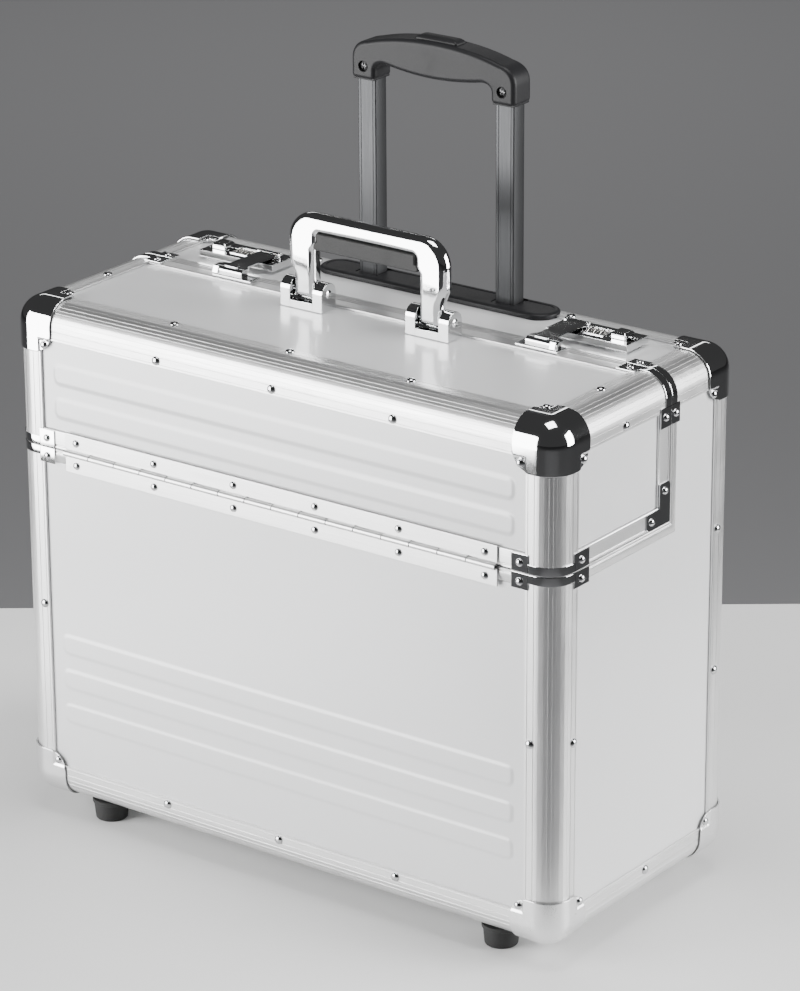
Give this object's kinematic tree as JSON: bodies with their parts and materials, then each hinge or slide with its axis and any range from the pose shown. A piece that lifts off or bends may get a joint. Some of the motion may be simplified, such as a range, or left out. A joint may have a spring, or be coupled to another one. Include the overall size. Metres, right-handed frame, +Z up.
{
  "type": "hard shell trolley pilot case",
  "caption": "Aluminium-framed pilot case with a front-hinged lid, combination locks, bail carry handle, telescopic trolley handle and rear wheels.",
  "frame": {"origin": "on the floor under the middle of the case", "axes": "+Z up, +X to the right seen from the front, -Y to the front, where the lid hinge is"},
  "size_m": [0.4632, 0.2216, 0.5695],
  "materials": {
    "panel": "satin",
    "rail": "satin",
    "chrome": "polished",
    "steel": "satin",
    "tube": "satin",
    "black_plastic": "satin",
    "rubber": "matte",
    "lining": "matte"
  },
  "bodies": {
    "case": {"front_panel": "panel", "back_panel": "panel", "left_side_panel": "panel", "right_side_panel": "panel", "bottom_panel": "panel", "deck_panel": "panel", "lower_edge_frame": "rail", "bottom_rear_rail": "rail", "rear_edge_frame": "rail", "body_rim": "rail", "corner_bottom_front_left": "rail", "corner_bottom_front_right": "rail", "corner_bottom_rear_left": "rail", "corner_bottom_rear_right": "rail", "corner_top_rear_left": "chrome", "corner_top_rear_right": "chrome", "hinge_lower_leaf": "steel", "hinge_pin": "steel", "lock_plate_left": "chrome", "lock_plate_right": "chrome", "trolley_guide_frame": "steel", "trolley_bezel": "black_plastic", "trolley_cover": "lining", "wheel_housing_left": "black_plastic", "wheel_housing_right": "black_plastic", "foot_left": "rubber", "foot_right": "rubber"},
    "lid": {"lid_top_panel": "panel", "lid_front_panel": "panel", "lid_left_panel": "panel", "lid_right_panel": "panel", "lid_edge_frame": "rail", "lid_rim": "rail", "hinge_upper_leaf": "steel", "corner_top_front_left": "chrome", "corner_top_front_right": "chrome", "keeper_left": "chrome", "keeper_right": "chrome", "handle_base_left": "chrome", "handle_base_right": "chrome"},
    "carry_handle": {"carry_handle_bail": "chrome", "carry_handle_grip": "black_plastic"},
    "trolley_middle": {"middle_tube_left": "tube", "middle_tube_right": "tube"},
    "trolley_handle": {"upper_tube_left": "tube", "upper_tube_right": "tube", "trolley_grip": "black_plastic"},
    "trolley_release": {"trolley_button": "black_plastic"},
    "wheel_left": {"wheel_left": "rubber"},
    "hasp_left": {"hasp_left": "chrome"},
    "lock_button_left": {"lock_button_left": "chrome"},
    "dial_left_1": {"dial_left_1": "steel"},
    "dial_left_2": {"dial_left_2": "steel"},
    "dial_left_3": {"dial_left_3": "steel"},
    "wheel_right": {"wheel_right": "rubber"},
    "hasp_right": {"hasp_right": "chrome"},
    "lock_button_right": {"lock_button_right": "chrome"},
    "dial_right_1": {"dial_right_1": "steel"},
    "dial_right_2": {"dial_right_2": "steel"},
    "dial_right_3": {"dial_right_3": "steel"}
  },
  "joints": [
    {"name": "lid_hinge", "type": "hinge", "parent": "case", "child": "lid", "pos_m": [0, -0.1086, 0.284], "axis": [1, 0, 0], "range_deg": [0, 170]},
    {"name": "carry_handle_fold", "type": "hinge", "parent": "lid", "child": "carry_handle", "pos_m": [0, 0.002, 0.3984], "axis": [1, 0, 0], "range_deg": [0, 90]},
    {"name": "trolley_lower_slide", "type": "slide", "parent": "case", "child": "trolley_middle", "axis": [0, 0, 1], "range_m": [0, 0.25]},
    {"name": "trolley_upper_slide", "type": "slide", "parent": "trolley_middle", "child": "trolley_handle", "axis": [0, 0, 1], "range_m": [-0.139, 0.17]},
    {"name": "trolley_release_press", "type": "slide", "parent": "trolley_handle", "child": "trolley_release", "axis": [0, 0, -1], "range_m": [0, 0.004], "stiffness_N_per_m": 400, "springref_m": -0.004},
    {"name": "hasp_left_swing", "type": "hinge", "parent": "case", "child": "hasp_left", "pos_m": [-0.132, 0.06, 0.3954], "axis": [-1, 0, 0], "range_deg": [0, 100]},
    {"name": "hasp_right_swing", "type": "hinge", "parent": "case", "child": "hasp_right", "pos_m": [0.132, 0.06, 0.3954], "axis": [-1, 0, 0], "range_deg": [0, 100]},
    {"name": "lock_button_left_slide", "type": "slide", "parent": "case", "child": "lock_button_left", "axis": [-1, 0, 0], "range_m": [0, 0.005], "stiffness_N_per_m": 300, "springref_m": -0.004},
    {"name": "lock_button_right_slide", "type": "slide", "parent": "case", "child": "lock_button_right", "axis": [1, 0, 0], "range_m": [0, 0.005], "stiffness_N_per_m": 300, "springref_m": -0.004},
    {"name": "dial_left_1_turn", "type": "hinge", "parent": "case", "child": "dial_left_1", "pos_m": [-0.146, 0.056, 0.3888], "axis": [1, 0, 0], "continuous": true},
    {"name": "dial_left_2_turn", "type": "hinge", "parent": "case", "child": "dial_left_2", "pos_m": [-0.151, 0.056, 0.3888], "axis": [1, 0, 0], "continuous": true},
    {"name": "dial_left_3_turn", "type": "hinge", "parent": "case", "child": "dial_left_3", "pos_m": [-0.156, 0.056, 0.3888], "axis": [1, 0, 0], "continuous": true},
    {"name": "dial_right_1_turn", "type": "hinge", "parent": "case", "child": "dial_right_1", "pos_m": [0.146, 0.056, 0.3888], "axis": [1, 0, 0], "continuous": true},
    {"name": "dial_right_2_turn", "type": "hinge", "parent": "case", "child": "dial_right_2", "pos_m": [0.151, 0.056, 0.3888], "axis": [1, 0, 0], "continuous": true},
    {"name": "dial_right_3_turn", "type": "hinge", "parent": "case", "child": "dial_right_3", "pos_m": [0.156, 0.056, 0.3888], "axis": [1, 0, 0], "continuous": true},
    {"name": "wheel_left_spin", "type": "hinge", "parent": "case", "child": "wheel_left", "pos_m": [-0.172, 0.0888, 0.022], "axis": [1, 0, 0], "continuous": true},
    {"name": "wheel_right_spin", "type": "hinge", "parent": "case", "child": "wheel_right", "pos_m": [0.172, 0.0888, 0.022], "axis": [1, 0, 0], "continuous": true}
  ]
}
